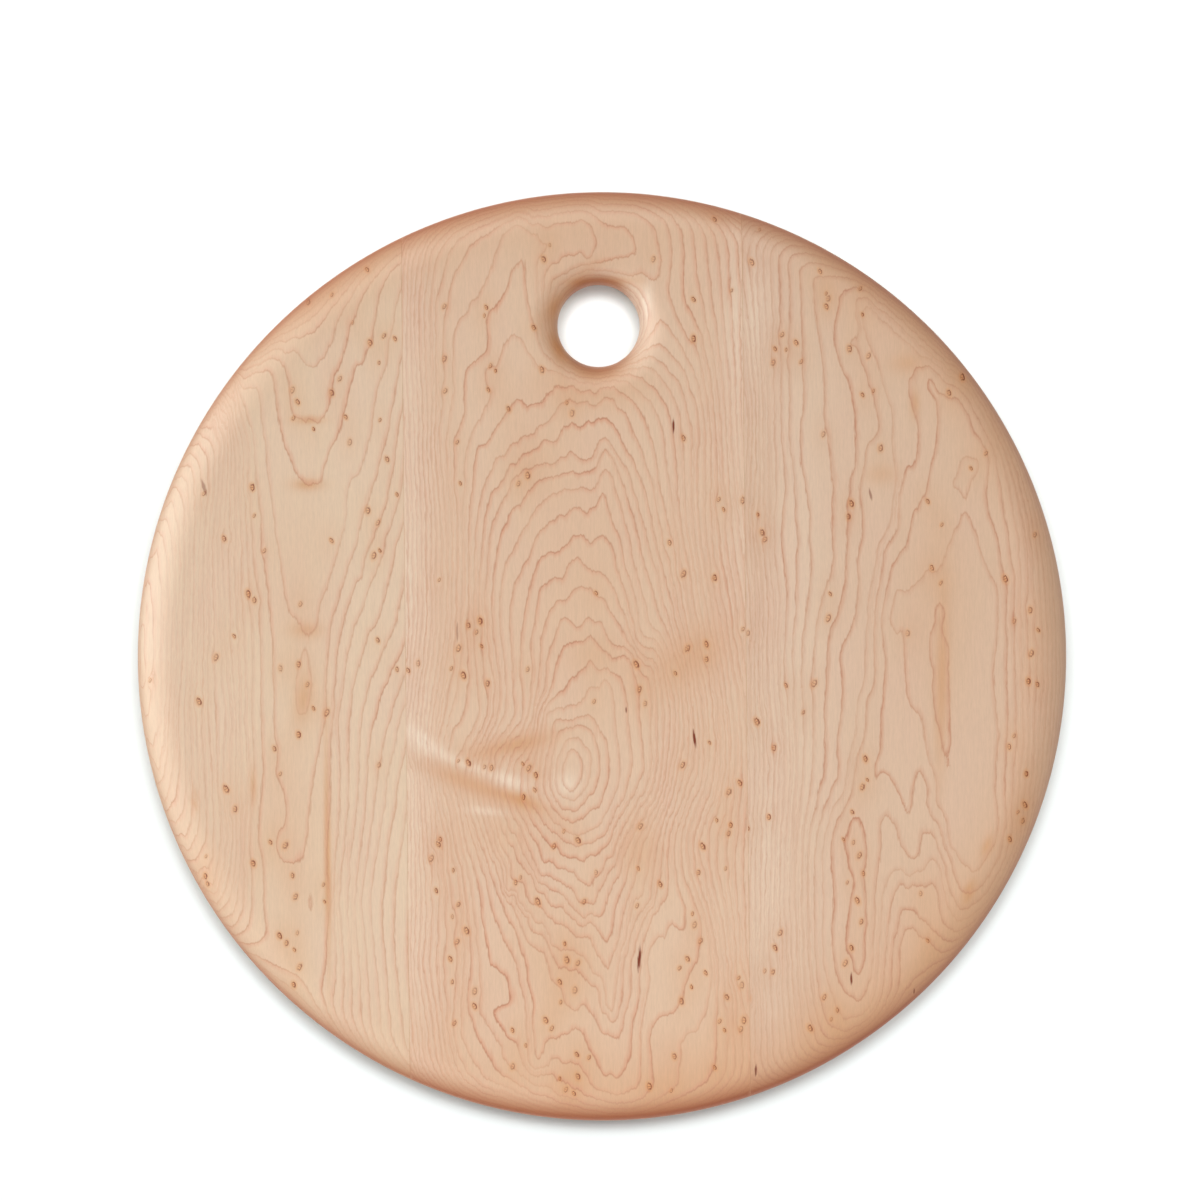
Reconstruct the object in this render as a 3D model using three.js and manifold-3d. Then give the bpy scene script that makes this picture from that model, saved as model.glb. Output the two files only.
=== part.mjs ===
import * as THREE from 'three';
import { mergeVertices } from 'three/addons/utils/BufferGeometryUtils.js';
import Module from 'manifold-3d';

const wasm = await Module();
wasm.setup();

// Round board lying face up, in millimetres, +Y from its centre towards the finger hole
const boardDiameter = 356;
const boardThickness = 19;

// Pillowed edge: on both faces a flat ellipse rolls over to a narrow upright land at mid height
const edgeEaseWidth = 14.5;
const edgeLand = 1.5;

// Finger hole near the top edge, also used to hang the board on a peg, rolled over on both faces
const holeDiameter = 31.5;
const holeCentreToEdge = 51.3;
const holeEaseWidth = 10.5;
const holeLand = 2;

// Edge joints between the three staves, measured from the board's centre line
const leftJointX = -75;
const rightJointX = 55;
const glueThickness = 0.125;

// Fineness of the curves
const edgeFacets = 144;
const holeFacets = 64;
const edgeEaseSteps = 8;
const holeEaseSteps = 6;

// Colours of the three planks and of the dried glue between them
const leftWood = { color: '#e0c2a4', roughness: 0.5, metalness: 0 };
const middleWood = { color: '#debb9d', roughness: 0.5, metalness: 0 };
const rightWood = { color: '#d8b699', roughness: 0.5, metalness: 0 };
const driedGlue = { color: '#c9a27c', roughness: 0.6, metalness: 0 };

// The cutting shapes run past the wood by half its thickness
const cutOver = boardThickness / 2;
const quarterTurn = Math.PI / 2;
const boardRadius = boardDiameter / 2;
const holeRadius = holeDiameter / 2;
const holeCentreY = boardRadius - holeCentreToEdge;
const edgeEaseDepth = (boardThickness - edgeLand) / 2;
const holeEaseDepth = (boardThickness - holeLand) / 2;
const leftGlueStart = leftJointX - glueThickness / 2;
const leftGlueEnd = leftJointX + glueThickness / 2;
const rightGlueStart = rightJointX - glueThickness / 2;
const rightGlueEnd = rightJointX + glueThickness / 2;

function solidFrom(geometry) {
  geometry.deleteAttribute('normal');
  geometry.deleteAttribute('uv');
  const welded = mergeVertices(geometry);
  const mesh = new wasm.Mesh({
    numProp: 3,
    vertProperties: new Float32Array(welded.attributes.position.array),
    triVerts: new Uint32Array(welded.index.array),
  });
  return new wasm.Manifold(mesh);
}

function turned(profile, steps, facets) {
  return new THREE.LatheGeometry(profile.getPoints(steps), facets).rotateX(quarterTurn);
}

// The whole round blank with its rolled edge, before it is divided into staves
function blank() {
  const flatRadius = boardRadius - edgeEaseWidth;
  const upperEaseZ = boardThickness - edgeEaseDepth;
  const profile = new THREE.Path();
  profile.moveTo(0, 0);
  profile.lineTo(flatRadius, 0);
  profile.absellipse(flatRadius, edgeEaseDepth, edgeEaseWidth, edgeEaseDepth, -quarterTurn, 0);
  profile.lineTo(boardRadius, upperEaseZ);
  profile.absellipse(flatRadius, upperEaseZ, edgeEaseWidth, edgeEaseDepth, 0, quarterTurn);
  profile.lineTo(0, boardThickness);
  return solidFrom(turned(profile, edgeEaseSteps / 2, edgeFacets));
}

// The space of the finger hole: a short straight bore that opens in a rolled flare to each face
function holeSpace() {
  const mouthRadius = holeRadius + holeEaseWidth;
  const upperEaseZ = boardThickness - holeEaseDepth;
  const profile = new THREE.Path();
  profile.moveTo(0, -cutOver);
  profile.lineTo(mouthRadius, -cutOver);
  profile.lineTo(mouthRadius, 0);
  profile.absellipse(mouthRadius, holeEaseDepth, holeEaseWidth, holeEaseDepth, -quarterTurn, -Math.PI, true);
  profile.lineTo(holeRadius, upperEaseZ);
  profile.absellipse(mouthRadius, upperEaseZ, holeEaseWidth, holeEaseDepth, Math.PI, quarterTurn, true);
  profile.lineTo(mouthRadius, boardThickness + cutOver);
  profile.lineTo(0, boardThickness + cutOver);
  return solidFrom(turned(profile, holeEaseSteps / 2, holeFacets).translate(0, holeCentreY, 0));
}

// A slice of space between two upright planes across the board
function slice(startX, endX) {
  const reach = boardRadius + cutOver;
  const outline = new THREE.Shape();
  outline.moveTo(startX, -reach);
  outline.lineTo(endX, -reach);
  outline.lineTo(endX, reach);
  outline.lineTo(startX, reach);
  const options = { depth: boardThickness + 2 * cutOver, bevelEnabled: false };
  return solidFrom(new THREE.ExtrudeGeometry(outline, options).translate(0, 0, -cutOver));
}

function meshFrom(solid, name, finish) {
  const data = solid.getMesh();
  const geometry = new THREE.BufferGeometry();
  geometry.setAttribute('position', new THREE.BufferAttribute(data.vertProperties, data.numProp));
  geometry.setIndex(new THREE.BufferAttribute(data.triVerts, 1));
  geometry.computeVertexNormals();
  const mesh = new THREE.Mesh(geometry, new THREE.MeshStandardMaterial(finish));
  mesh.name = name;
  return mesh;
}

// Three planks and the two glue films that join their straight edges
const board = blank().subtract(holeSpace());
const outerReach = boardRadius + cutOver;

const assembly = new THREE.Group();
assembly.name = 'round_bread_board';

const staveLeft = board.intersect(slice(-outerReach, leftGlueStart));
assembly.add(meshFrom(staveLeft, 'stave_left', leftWood));

const glueLineLeft = board.intersect(slice(leftGlueStart, leftGlueEnd));
assembly.add(meshFrom(glueLineLeft, 'glue_line_left', driedGlue));

const staveMiddle = board.intersect(slice(leftGlueEnd, rightGlueStart));
assembly.add(meshFrom(staveMiddle, 'stave_middle', middleWood));

const glueLineRight = board.intersect(slice(rightGlueStart, rightGlueEnd));
assembly.add(meshFrom(glueLineRight, 'glue_line_right', driedGlue));

const staveRight = board.intersect(slice(rightGlueEnd, outerReach));
assembly.add(meshFrom(staveRight, 'stave_right', rightWood));

export default assembly;
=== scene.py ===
import math
import bmesh
import bpy
import numpy as np
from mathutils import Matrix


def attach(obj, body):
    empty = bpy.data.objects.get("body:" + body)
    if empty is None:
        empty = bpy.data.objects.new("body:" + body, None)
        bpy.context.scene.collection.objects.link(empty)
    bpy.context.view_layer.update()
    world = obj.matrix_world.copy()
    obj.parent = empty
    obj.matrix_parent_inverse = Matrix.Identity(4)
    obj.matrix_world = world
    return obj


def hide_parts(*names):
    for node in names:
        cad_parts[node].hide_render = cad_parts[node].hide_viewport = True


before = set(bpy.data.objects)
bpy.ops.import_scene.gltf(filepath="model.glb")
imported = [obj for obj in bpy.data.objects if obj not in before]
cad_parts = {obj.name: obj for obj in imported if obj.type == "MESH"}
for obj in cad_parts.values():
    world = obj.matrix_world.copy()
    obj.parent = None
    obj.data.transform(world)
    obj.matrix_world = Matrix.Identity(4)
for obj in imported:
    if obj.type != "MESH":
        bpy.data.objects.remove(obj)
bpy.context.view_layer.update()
mm = 0.001  # the board is laid out in millimetres and the scene is in metres
print("frame loaded:", ", ".join(sorted(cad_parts)))

# the turned disc that all the pieces are cut from
board = {
    "diameter": 356.0,
    "thickness": 19.0,
    "easeWidth": 14.5,  # how far in from the edge the faces start to roll over
    "land": 1.5,  # the narrow straight band left at mid height
    "easeSteps": 12,
    "leftJoint": -75.0,
    "rightJoint": 55.0,
    "glue": 0.125,
}
hole = {
    "diameter": 31.5,
    "fromEdge": 51.3,  # hole centre to the board's edge
    "easeWidth": 10.5,
    "land": 2.0,
    "easeSteps": 12,
    "patch": 30.0,  # half width of the square of mesh that is swapped for rings round the hole
    "patchRings": 6,
}
outer = board["diameter"] / 2
flatRadius = outer - board["easeWidth"]
holeY = outer - hole["fromEdge"]

# where the photograph has the board, for the marks that were read off it
photo = {"centre": (602.0, 656.3), "mmPerPixel": 0.3836, "turn": math.radians(0.6), "size": 1200}


# board x, y = photo offset from the board's centre, scaled to mm and turned back upright
def onBoard(spots):
    spots = np.array(spots, float).reshape(-1, 2)
    across = (spots[:, 0] - photo["centre"][0]) * photo["mmPerPixel"]
    up = (photo["centre"][1] - spots[:, 1]) * photo["mmPerPixel"]
    c, s = math.cos(photo["turn"]), math.sin(photo["turn"])
    return np.stack([across * c + up * s, up * c - across * s], 1)


# rolled edge: a quarter ellipse out and down, a straight land, and the same ellipse back under
def easedEdge(flat, reach, land, steps):
    drop = (board["thickness"] - land) / 2
    turn = np.linspace(0, math.pi / 2, steps + 1)
    radius = flat + reach * np.sin(turn)
    depth = drop * (1 - np.cos(turn))
    radius = np.concatenate([radius, radius[::-1]])
    height = np.concatenate([board["thickness"] - depth, depth[::-1]])
    return radius, height


edgeRadius, edgeHeight = easedEdge(flatRadius, board["easeWidth"], board["land"], board["easeSteps"])
holeRadius, holeHeight = easedEdge(
    hole["diameter"] / 2 + hole["easeWidth"], -hole["easeWidth"], hole["land"], hole["easeSteps"])


# grid of quads between consecutive rows of vertex numbers
def quadsBetween(rows):
    a, b = rows[:-1], rows[1:]
    return np.stack([a[:, :-1], a[:, 1:], b[:, 1:], b[:, :-1]], -1).reshape(-1, 4)


surface = {"weld": 1e-7, "sharpFrom": 35.0}  # metres, and degrees between faces


# mesh from points in mm and quads, with doubled points welded and all faces turned outwards
def meshFrom(name, points, quads):
    mesh = bpy.data.meshes.new(name)
    mesh.from_pydata(points * mm, [], quads.tolist())
    work = bmesh.new()
    work.from_mesh(mesh)
    bmesh.ops.remove_doubles(work, verts=work.verts, dist=surface["weld"])
    bmesh.ops.recalc_face_normals(work, faces=work.faces)
    work.to_mesh(mesh)
    work.free()
    mesh.shade_smooth()
    mesh.set_sharp_from_angle(angle=math.radians(surface["sharpFrom"]))
    piece = bpy.data.objects.new(name, mesh)
    bpy.context.scene.collection.objects.link(piece)
    return piece


# slab between two upright cuts: each column is a closed loop in y and z at one x, where the face runs
# straight between the two arcs of the flat circle and the rolled edge is carried along y = sqrt(r^2 - x^2)
def slabPiece(name, size, holed):
    x = np.linspace(size["from"], size["to"], size["columns"])
    along = np.linspace(-1, 1, size["rows"])[:, None]
    face = along * np.sqrt(flatRadius ** 2 - x ** 2)
    rim = np.sqrt(edgeRadius[1:-1, None] ** 2 - x ** 2)
    y = np.concatenate([face, rim, face[::-1], -rim[::-1]])
    heights = [np.full(len(face), board["thickness"]), edgeHeight[1:-1],
               np.zeros(len(face)), edgeHeight[-2:0:-1]]
    z = np.broadcast_to(np.concatenate(heights)[:, None], y.shape)
    points = np.stack([np.broadcast_to(x, y.shape), y, z], -1).reshape(-1, 3)
    grid = np.arange(len(points)).reshape(y.shape)
    loop = np.concatenate([grid, grid[:1]])
    quads = quadsBetween(loop).reshape(len(grid), -1, 4)
    count, half = len(grid), (len(edgeRadius) - 2) // 2
    upper = np.arange(-half, len(face) + half) % count
    under = (2 * len(face) + len(rim) - 1 - upper) % count
    caps = [quadsBetween(np.stack([grid[upper, end], grid[under, end]])) for end in (0, -1)]
    if not holed:
        return meshFrom(name, points, np.concatenate([quads.reshape(-1, 4), *caps]))
    across = np.flatnonzero(np.abs(x) < hole["patch"])
    middle = np.argmin(np.abs(x))
    length = np.flatnonzero(np.abs(face[:, middle] - holeY) < hole["patch"])
    j0, j1, i0, i1 = across[0], across[-1], length[0], length[-1]
    last = 2 * len(face) + len(rim) - 1
    keep = np.ones(quads.shape[:2], bool)
    keep[i0:i1, j0:j1] = False
    keep[last - i1:last - i0, j0:j1] = False
    top = np.concatenate([grid[i0, j0:j1], grid[i0:i1, j1], grid[i1, j1:j0:-1], grid[i1:i0:-1, j0]])
    foot = np.concatenate([grid[last - i0, j0:j1], grid[last - np.arange(i0, i1), j1],
                           grid[last - i1, j1:j0:-1], grid[last - np.arange(i1, i0, -1), j0]])
    # rings round the hole: square outline drawn in to the mouth's circle, then the eased wall down through
    offset = points[top, :2] - (0, holeY)
    outward = offset / np.linalg.norm(offset, axis=1)[:, None]
    share = np.linspace(0, 1, hole["patchRings"] + 1)[1:-1, None, None]
    blend = offset * (1 - share) + outward * holeRadius[0] * share
    wall = outward * holeRadius[:, None, None]
    flat = np.concatenate([blend, wall, blend[::-1]]) + (0, holeY)
    level = np.concatenate([np.full(len(blend), board["thickness"]), holeHeight, np.zeros(len(blend))])
    rings = np.concatenate([flat, np.broadcast_to(level[:, None, None], flat.shape[:2] + (1,))], -1)
    fresh = len(points) + np.arange(rings.shape[0] * rings.shape[1]).reshape(rings.shape[:2])
    rows = np.concatenate([top[None], fresh, foot[None]])
    rows = np.concatenate([rows, rows[:, :1]], 1)
    points = np.concatenate([points, rings.reshape(-1, 3)])
    return meshFrom(name, points, np.concatenate([quads[keep], quadsBetween(rows), *caps]))


# outer stave: each row runs from the seam to the flat circle at the same share of both, so the face is a
# lens closed at its two corners, and the rolled edge follows arcs that all end on the seam's plane
def lensPiece(name, size):
    seam, side = size["seam"], math.copysign(1, size["seam"])
    along = np.linspace(-1, 1, size["rows"])[:, None]
    across = np.linspace(0, 1, size["columns"])
    sweep = np.arccos(abs(seam) / edgeRadius) * along
    rimX, rimY = side * edgeRadius * np.cos(sweep), edgeRadius * np.sin(sweep)
    faceX = seam + (rimX[:, :1] - seam) * across
    chord = along * math.sqrt(flatRadius ** 2 - seam ** 2)
    faceY = chord + (rimY[:, :1] - chord) * across
    x = np.concatenate([faceX, rimX[:, 1:-1], faceX[:, ::-1]], 1)
    y = np.concatenate([faceY, rimY[:, 1:-1], faceY[:, ::-1]], 1)
    z = np.concatenate([np.full(len(across), board["thickness"]), edgeHeight[1:-1], np.zeros(len(across))])
    points = np.stack([x, y, np.broadcast_to(z, x.shape)], -1).reshape(-1, 3)
    grid = np.arange(len(points)).reshape(x.shape)
    half = len(across) + (len(edgeRadius) - 2) // 2
    upper, under = grid[:, :half], grid[:, ::-1][:, :half]
    caps = [quadsBetween(np.stack([upper[:, 0], under[:, 0]]))]
    tip = len(across) - 1
    caps += [quadsBetween(np.stack([upper[end, tip:], under[end, tip:]])) for end in (0, -1)]
    return meshFrom(name, points, np.concatenate([quadsBetween(grid), *caps]))


# odd numbers that shuffle whole-number points, and how many directions come out
shuffle = {"p": 374761393, "q": 668265263, "seed": 982451653, "mix": 1274126177, "turns": 65536}


# soft noise about -1 to 1: hashed slopes at whole-number points, eased between them
def softNoise(p, q, seed):
    left, low = np.floor(p).astype(np.int64), np.floor(q).astype(np.int64)
    u, v = p - left, q - low
    total = 0
    for a in (0, 1):
        for b in (0, 1):
            mixed = (left + a) * shuffle["p"] + (low + b) * shuffle["q"] + seed * shuffle["seed"]
            mixed = (mixed ^ (mixed >> 13)) * shuffle["mix"]
            turn = ((mixed ^ (mixed >> 16)) & (shuffle["turns"] - 1)) * (2 * math.pi / shuffle["turns"])
            s, t = 1 - np.abs(u - a), 1 - np.abs(v - b)
            weight = s ** 3 * (s * (s * 6 - 15) + 10) * t ** 3 * (t * (t * 6 - 15) + 10)
            total = total + weight * (np.cos(turn) * (u - a) + np.sin(turn) * (v - b))
    return 1.5 * total


grain = {
    "squeeze": 0.5,  # distances along the grain count for half, so rings run long that way
    "slack": 5e-7,  # how loosely the ring sheet follows its marks
    "wander": [(0.45, 1.3, 6.0, 26.0), (0.2, 1.6, 3.2, 10.0)],  # mm aside and along, then its size in mm
    "step": 0.3,  # mm, for the slope of the sheet
    "eyePush": 0.6,  # how far an eye pushes the rings aside, as a share of their distance to it
    "eyeReach": 2.6,  # mm across, and more along the grain by the next value
    "eyeAlong": 0.7,
    "eyeWarmth": (0.16, 5.0, 8.0, 0.4),  # brown round an eye: gain, mm across and along, most
    "eyeSizes": (0.65, 0.6),  # smallest, and how much more the largest has
    "eyeLean": 0.5,  # radians, at most
    "eyeSteps": (0.754877, 0.618034, 2.4),  # scatter the eyes' sizes, strengths and leans evenly
    "leastDip": 0.05,  # rings to a mm
    "leastRate": 0.02,
}


# thin-plate sheet: ring number = sum of weights times r^2 log r over the marks, plus a sloping plane
def ringSheet(marks):
    spots = onBoard([spot for line in marks.values() for spot in line]) * (1, grain["squeeze"])
    values = np.repeat(list(marks.keys()), [len(line) for line in marks.values()])
    count = len(values)
    gap = ((spots[:, None] - spots) ** 2).sum(-1)
    core = gap * np.log(gap + 1e-9) + np.eye(count) * grain["slack"] * gap.max()
    plane = np.column_stack([np.ones(count), spots])
    whole = np.block([[core, plane], [plane.T, np.zeros((3, 3))]])
    weights = np.linalg.solve(whole, np.concatenate([values, np.zeros(3)]))

    def sheet(x, y):
        y = y * grain["squeeze"]
        total = weights[count] + weights[count + 1] * x + weights[count + 2] * y
        for spot, weight in zip(spots, weights):
            far = (x - spot[0]) ** 2 + (y - spot[1]) ** 2
            total += weight * far * np.log(far + 1e-9)
        return total

    return sheet


# elongated soft patches: gain times exp(-(along/length)^2 - (across/width)^2), summed
def patchTone(x, y, patches):
    tone = np.zeros_like(x)
    for px, py, length, width, lean, gain in patches:
        (cx, cy), turn = onBoard([(px, py)])[0], math.radians(lean)
        along = (x - cx) * math.cos(turn) + (y - cy) * math.sin(turn)
        across = (y - cy) * math.cos(turn) - (x - cx) * math.sin(turn)
        tone += gain * np.exp(-(along / length / photo["mmPerPixel"]) ** 2
                              - (across / width / photo["mmPerPixel"]) ** 2)
    return tone


# offset of each face corner from the mark nearest to its face's middle, turned and measured in that mark's
# own size, with the mark's own number as a third value
def nearestMark(piece, spots, sizes, leans, numbers):
    mesh = piece.data
    corner = np.empty(len(mesh.loops), np.int32)
    mesh.loops.foreach_get("vertex_index", corner)
    total = np.empty(len(mesh.polygons), np.int32)
    mesh.polygons.foreach_get("loop_total", total)
    middle = np.empty(len(mesh.polygons) * 3, np.float32)
    mesh.polygons.foreach_get("center", middle)
    middle = middle.reshape(-1, 3)[:, :2] / mm
    nearest, best = np.zeros(len(middle), int), np.full(len(middle), 1e9)
    for mark, spot in enumerate(spots):
        far = (((middle - spot) / sizes[mark]) ** 2).sum(1)
        nearest, best = np.where(far < best, mark, nearest), np.minimum(far, best)
    nearest = np.repeat(nearest, total)
    place = np.empty(len(mesh.vertices) * 3, np.float32)
    mesh.vertices.foreach_get("co", place)
    offset = place.reshape(-1, 3)[corner, :2] / mm - spots[nearest]
    c, s = np.cos(leans)[nearest], np.sin(leans)[nearest]
    turned = np.column_stack([offset[:, 0] * c + offset[:, 1] * s, offset[:, 1] * c - offset[:, 0] * s])
    return np.column_stack([turned / sizes[nearest], numbers[nearest]])


# stores one value, or one vector, for each vertex or face corner
def addAttribute(piece, name, kind, domain, values):
    layer = piece.data.attributes.new(name, kind, domain)
    field = "vector" if kind == "FLOAT_VECTOR" else "value"
    layer.data.foreach_set(field, values.astype(np.float32).ravel())


edgeTone = {
    "thirst": (0.16, 0.85),  # how far along the grain a surface faces when it starts to darken, and at most
    "inHole": 0.65,  # most of that in the finger hole, where it is kept to the steep part
    "nearEnd": (-74.0, 40.0, 0.4),  # painted shade on the edge, most round this end: compass angle, spread, and share
    "steepShade": (0.78, 0.4, 0.5),  # painted shade on the steep last of the edge, all round: slope, range and share
    "lessOnUpright": (0.5, 0.4, 0.4),  # less of the darkening and painted shade on the upright part: slope, range and share lost
    # arcs inside the edge painted browner and darker, partly browner wood and partly painted shade on the
    # rolled edge: compass angle, spread in degrees, reach in mm, gain
    "brownAndShade": [(-78.0, 38.0, 28.0, 0.9), (-30.0, 22.0, 20.0, 0.35), (32.0, 35.0, 18.0, 0.5),
                (90.0, 40.0, 34.0, 0.2), (125.0, 28.0, 17.0, 0.55), (-158.0, 25.0, 14.0, 0.3),
                (60.0, 60.0, 10.0, 0.35), (-58.0, 30.0, 11.0, 0.5)],
}


# end grain drinks more oil: share rises with how far the surface faces along the grain; painted shade is laid
# on top, most at the near end and on the steep last of the edge all round, with less of all of it on the
# upright part
def endGrainAndShade(normal, x, y):
    start, full = edgeTone["thirst"]
    share = np.clip((np.abs(normal[:, 1]) - start) / (full - start), 0, 1)
    angle, spread, gain = edgeTone["nearEnd"]
    close = np.exp(-((np.degrees(np.arctan2(y, x)) - angle) / spread) ** 2)
    slope, span, most = edgeTone["steepShade"]
    # painted shade: the steep last of the edge is darkened
    steep = np.clip((slope - np.abs(normal[:, 2])) / span, 0, 1)
    share = share * share * (3 - 2 * share)
    slope, span, lost = edgeTone["lessOnUpright"]
    uprightKeep = 1 - lost * np.clip((slope - normal[:, 2]) / span, 0, 1)
    onRim = np.minimum(share * (1 - gain + gain * close) + most * steep, 1) * uprightKeep
    return np.where(np.hypot(x, y) > flatRadius, onRim, share ** 3 * edgeTone["inHole"])


# arcs of brown and painted shade: gain times exp(-(angle off / spread)^2 - (distance from the edge /
# reach)^2), summed
def brownAndShadeArcs(x, y):
    inset, angle = outer - np.hypot(x, y), np.degrees(np.arctan2(y, x))
    return sum(gain * np.exp(-((angle - middle) / spread) ** 2 - (inset / reach) ** 2)
               for middle, spread, reach, gain in edgeTone["brownAndShade"])


# the growth rings at every vertex: the sheet on the work face, read a little aside by the wander and drawn
# in round the eyes, and below it ring = face ring + dip * depth, with dip^2 = ringsPerMm^2 - slope^2
def growRings(piece, stave):
    mesh = piece.data
    place, normal = np.empty(len(mesh.vertices) * 3), np.empty(len(mesh.vertices) * 3)
    mesh.vertices.foreach_get("co", place)
    mesh.vertices.foreach_get("normal", normal)
    x, y, z = (place.reshape(-1, 3) / mm).T
    normal = normal.reshape(-1, 3)
    sheet, eyes = ringSheet(stave["rings"]), onBoard(stave["eyes"])

    def face(x, y):
        aside, ahead = x.copy(), y.copy()
        for number, (byX, byY, wide, long) in enumerate(grain["wander"]):
            aside += byX * softNoise(x / wide, y / long, stave["seed"] + 10 * number)
            ahead += byY * softNoise(x / wide, y / long, stave["seed"] + 10 * number + 5)
        for ex, ey in eyes:
            far = ((x - ex) ** 2 + ((y - ey) * grain["eyeAlong"]) ** 2) / grain["eyeReach"] ** 2
            aside += grain["eyePush"] * (ex - x) * np.exp(-far)
        return sheet(aside, ahead)

    flat = face(x, y)
    slopeX = (face(x + grain["step"], y) - flat) / grain["step"]
    slopeY = (face(x, y + grain["step"]) - flat) / grain["step"]
    dip = stave["ringsPerMm"] ** 2 - slopeX ** 2 - slopeY ** 2
    dip = stave["dip"] * np.sqrt(np.maximum(dip, grain["leastDip"] ** 2))
    slope = np.stack([slopeX, slopeY, -dip], 1)
    seen = (slope ** 2).sum(1) - (slope * normal).sum(1) ** 2
    warmth, wide, long, most = grain["eyeWarmth"]
    warm = sum(np.exp(-((x - ex) / wide) ** 2 - ((y - ey) / long) ** 2) for ex, ey in eyes)
    # tone: the listed patches, less the brown round the eyes and the edge's arcs of brown and painted shade
    tone = patchTone(x, y, stave["patches"]) - np.minimum(warmth * warm, most) - brownAndShadeArcs(x, y)
    addAttribute(piece, "ring", "FLOAT", "POINT", flat + dip * (board["thickness"] - z))
    addAttribute(piece, "rate", "FLOAT", "POINT", np.sqrt(np.maximum(seen, grain["leastRate"] ** 2)))
    addAttribute(piece, "tone", "FLOAT", "POINT", tone)
    addAttribute(piece, "endGrainAndShade", "FLOAT", "POINT", endGrainAndShade(normal, x, y))
    count = np.arange(len(eyes))
    least, more = grain["eyeSizes"]
    bySize, byStrength, byLean = grain["eyeSteps"]
    size = stave["eyeSize"] * (least + more * (count * bySize % 1))
    lean = grain["eyeLean"] * np.sin(count * byLean)
    marks = nearestMark(piece, eyes, np.column_stack([size, size]), lean, count * byStrength % 1)
    addAttribute(piece, "eye", "FLOAT_VECTOR", "CORNER", marks)
    flecks = np.array(stave["flecks"], float)
    marks = nearestMark(piece, onBoard(flecks[:, :2]), flecks[:, 2:4] * photo["mmPerPixel"],
                        np.radians(flecks[:, 4]), flecks[:, 5])
    addAttribute(piece, "fleck", "FLOAT_VECTOR", "CORNER", marks)
    print(piece.name, "rings", round(flat.min(), 1), "to", round(flat.max(), 1), "eyes", len(eyes))


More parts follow.
